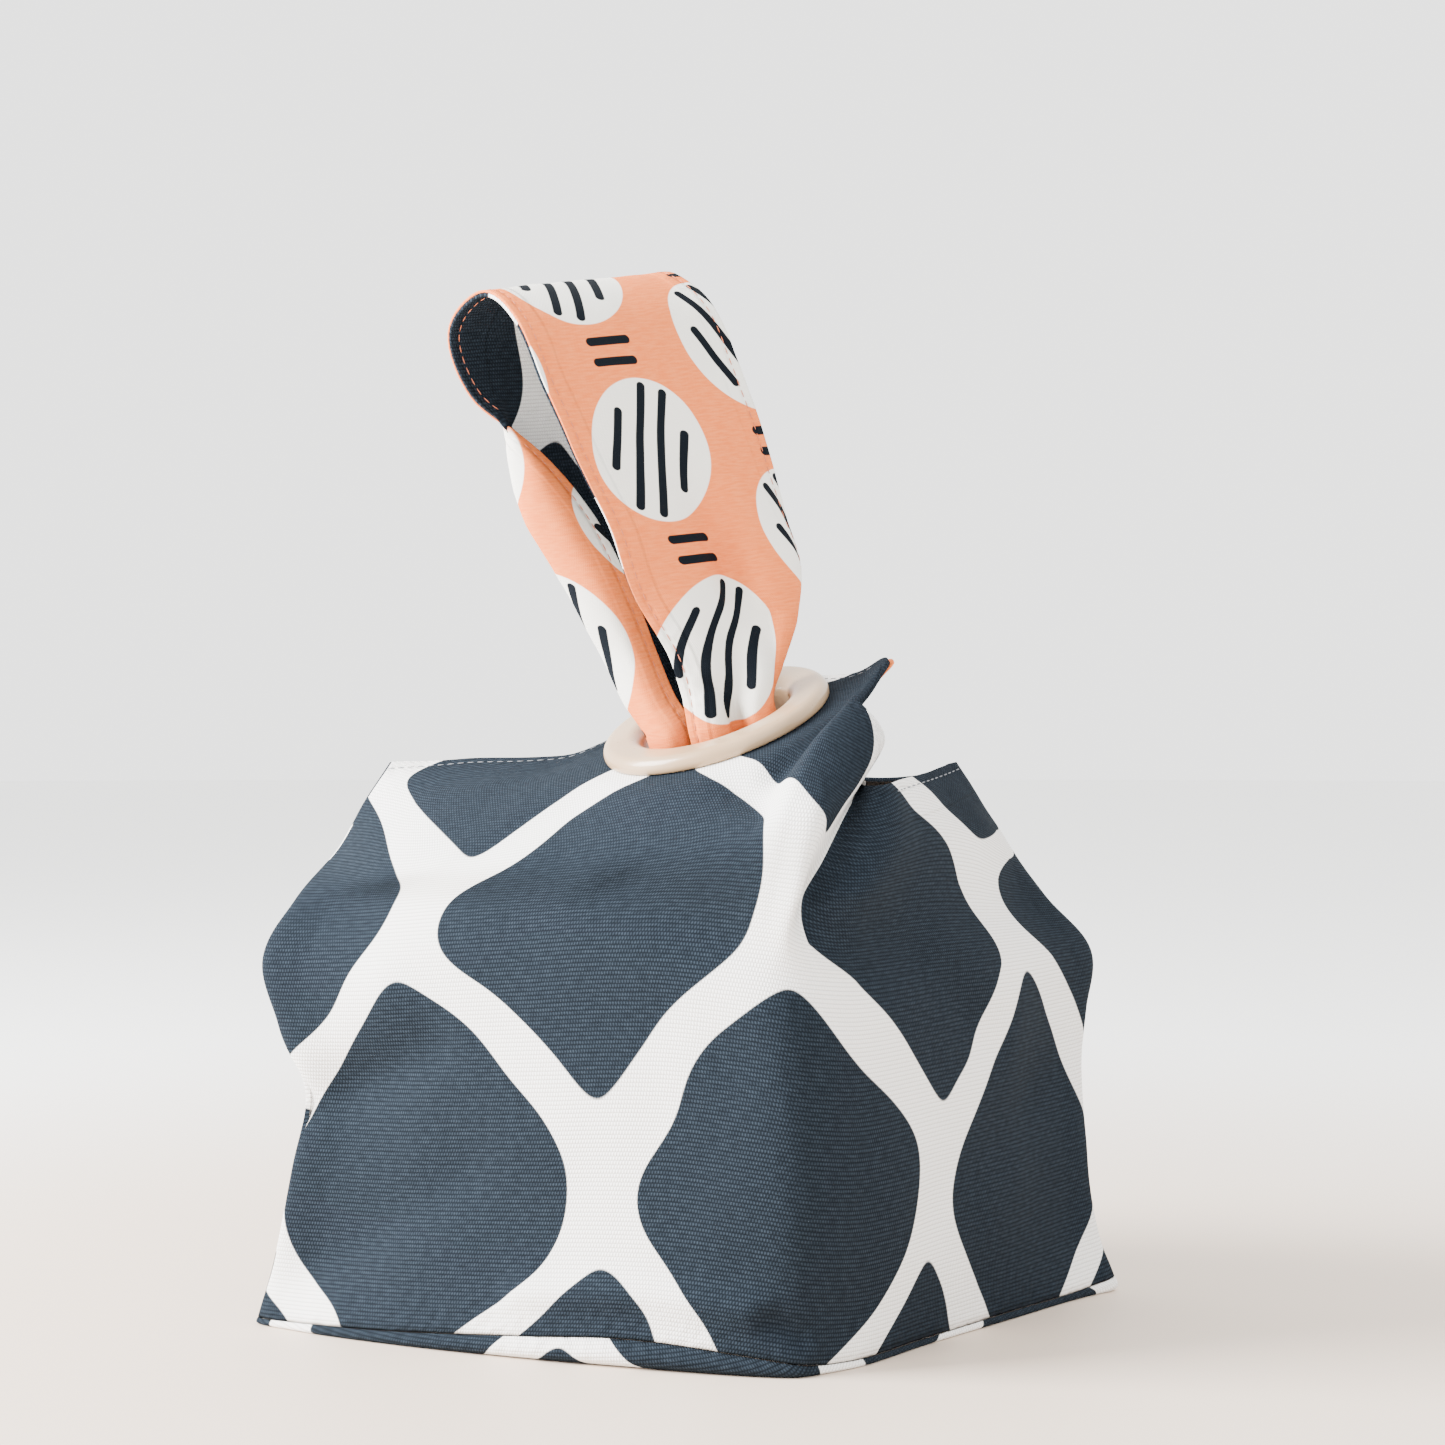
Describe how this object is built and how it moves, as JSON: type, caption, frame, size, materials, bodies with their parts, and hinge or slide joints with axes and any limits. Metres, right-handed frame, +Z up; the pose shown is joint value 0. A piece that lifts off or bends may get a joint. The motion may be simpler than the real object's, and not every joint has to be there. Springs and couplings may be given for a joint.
{
  "type": "dumpling bag",
  "caption": "Small boxed canvas bag whose front panel folds over as a flap with a grommet ring, and a wide strap pulled up through the ring as a wrist loop.",
  "frame": {"origin": "on the table under the middle of the base", "axes": "+Z up from the table, -Y towards the front panel that folds over as the flap, +X towards the right wall with the pleat"},
  "size_m": [0.2067, 0.1901, 0.3118],
  "materials": {
    "printed_canvas": "matt rib-woven cotton canvas",
    "printed_lining": "matt plain-woven cotton",
    "ivory_plastic": "satin"
  },
  "bodies": {
    "root": {"body_panels": "printed_canvas", "base_panel": "printed_canvas", "flap_lining": "printed_lining", "strap_facing": "printed_lining", "strap_canvas": "printed_canvas", "ring_face": "ivory_plastic", "ring_back": "ivory_plastic"}
  },
  "joints": []
}
